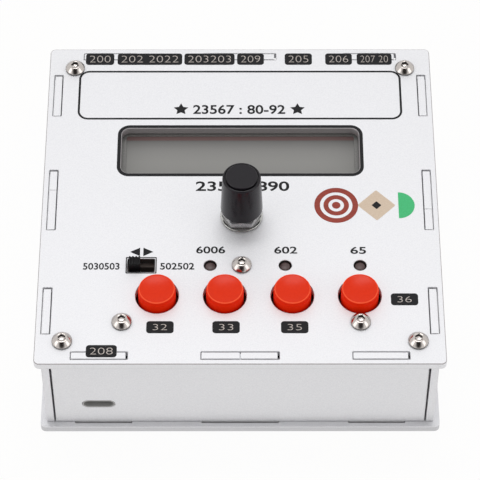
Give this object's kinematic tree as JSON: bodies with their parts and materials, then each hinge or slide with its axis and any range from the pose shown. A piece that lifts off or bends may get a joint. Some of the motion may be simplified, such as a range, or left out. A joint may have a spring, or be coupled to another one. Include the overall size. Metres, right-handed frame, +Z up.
{
  "type": "morse code keyer",
  "caption": "Desktop morse code keyer in a slotted sheet-metal case, with character display, push-and-turn knob, message buttons, mode slide switch, indicator lamps and a row of rear sockets.",
  "frame": {"origin": "under the middle of the box, on the surface that its rubber feet stand on", "axes": "+X to the right seen from the front, +Y to the rear where the row of sockets is, +Z up; the front wall with the single USB-C socket faces -Y"},
  "size_m": [0.112, 0.112, 0.0553],
  "materials": {
    "case_metal": "bead-blasted and clear anodised, pale silver",
    "screw_steel": "bright stainless steel",
    "post_brass": "nickel-plated brass",
    "foot_rubber": "matt black rubber",
    "circuit_board": "glass-epoxy laminate with green solder mask",
    "display_frame": "black-painted sheet steel",
    "display_glass": "grey liquid-crystal glass, unlit",
    "light_guide": "milky acrylic light guide",
    "black_plastic": "moulded black plastic",
    "red_plastic": "moulded red plastic, semi-gloss",
    "lamp_epoxy": "dark tinted epoxy lens",
    "nickel_plate": "nickel-plated metal",
    "knob_plastic": "satin black moulded plastic",
    "socket_steel": "plated steel shell"
  },
  "bodies": {
    "case": {"top_plate": "case_metal", "bottom_plate": "case_metal", "front_wall": "case_metal", "rear_wall": "case_metal", "left_wall": "case_metal", "right_wall": "case_metal", "top_corner_screw_1": "screw_steel", "top_corner_screw_2": "screw_steel", "top_corner_screw_3": "screw_steel", "top_corner_screw_4": "screw_steel", "bottom_corner_screw_1": "screw_steel", "bottom_corner_screw_2": "screw_steel", "bottom_corner_screw_3": "screw_steel", "bottom_corner_screw_4": "screw_steel", "board_screw_1": "screw_steel", "board_screw_2": "screw_steel", "board_screw_3": "screw_steel", "corner_post_1": "post_brass", "corner_post_2": "post_brass", "corner_post_3": "post_brass", "corner_post_4": "post_brass", "foot_1": "foot_rubber", "foot_2": "foot_rubber", "foot_3": "foot_rubber", "foot_4": "foot_rubber", "main_board": "circuit_board", "button_board": "circuit_board", "display_board": "circuit_board", "display_frame": "display_frame", "display_glass": "display_glass", "display_backlight": "light_guide", "button_switch_1": "black_plastic", "button_switch_2": "black_plastic", "button_switch_3": "black_plastic", "button_switch_4": "black_plastic", "slide_switch_body": "black_plastic", "indicator_lamp_1": "lamp_epoxy", "indicator_lamp_2": "lamp_epoxy", "indicator_lamp_3": "lamp_epoxy", "encoder_body": "nickel_plate", "encoder_washer": "nickel_plate", "encoder_nut": "nickel_plate", "audio_jack_1": "black_plastic", "audio_jack_2": "black_plastic", "audio_jack_3": "black_plastic", "audio_jack_4": "black_plastic", "audio_jack_5": "black_plastic", "front_usb_c_socket": "socket_steel", "rear_usb_c_socket": "socket_steel", "usb_a_socket": "socket_steel", "microcontroller": "black_plastic", "sounder": "black_plastic"},
    "button_1": {"button_cap_1": "red_plastic"},
    "button_2": {"button_cap_2": "red_plastic"},
    "button_3": {"button_cap_3": "red_plastic"},
    "button_4": {"button_cap_4": "red_plastic"},
    "mode_lever": {"slide_switch_lever": "black_plastic"},
    "push_rod": {"encoder_push_rod": "black_plastic"},
    "knob": {"encoder_shaft": "nickel_plate", "knob": "knob_plastic"}
  },
  "joints": [
    {"name": "button_1_press", "type": "slide", "parent": "case", "child": "button_1", "axis": [0, 0, -1], "range_m": [0, 0.0003], "stiffness_N_per_m": 6000},
    {"name": "button_2_press", "type": "slide", "parent": "case", "child": "button_2", "axis": [0, 0, -1], "range_m": [0, 0.0003], "stiffness_N_per_m": 6000},
    {"name": "button_3_press", "type": "slide", "parent": "case", "child": "button_3", "axis": [0, 0, -1], "range_m": [0, 0.0003], "stiffness_N_per_m": 6000},
    {"name": "button_4_press", "type": "slide", "parent": "case", "child": "button_4", "axis": [0, 0, -1], "range_m": [0, 0.0003], "stiffness_N_per_m": 6000},
    {"name": "mode_slide", "type": "slide", "parent": "case", "child": "mode_lever", "axis": [1, 0, 0], "range_m": [0, 0.0036]},
    {"name": "knob_push", "type": "slide", "parent": "case", "child": "push_rod", "axis": [0, 0, -1], "range_m": [0, 0.0005], "stiffness_N_per_m": 8000},
    {"name": "knob_turn", "type": "hinge", "parent": "push_rod", "child": "knob", "pos_m": [0.00045, -0.00584, 0.0412], "axis": [0, 0, 1], "continuous": true}
  ]
}
